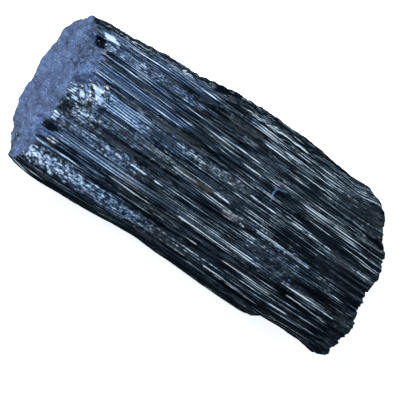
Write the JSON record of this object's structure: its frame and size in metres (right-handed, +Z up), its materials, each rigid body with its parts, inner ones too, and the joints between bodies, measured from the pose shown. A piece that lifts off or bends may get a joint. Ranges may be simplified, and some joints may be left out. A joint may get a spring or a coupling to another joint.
{
  "type": "tourmaline crystal",
  "caption": "Black tourmaline crystal, a thick prism with ribs and grooves along its length, one dull flat end and one splintered end, lying on a prism face.",
  "frame": {"origin": "centre of the bounding box at its bottom, on the surface the crystal lies on", "axes": "+X along the crystal from the dull flat end to the splintered end, +Z up, +Y across the crystal"},
  "size_m": [0.081, 0.0374, 0.0271],
  "materials": {
    "schorl": "glassy and striated along the prism faces, dull slate grey on the flat end"
  },
  "bodies": {
    "root": {"crystal": "schorl"}
  },
  "joints": []
}
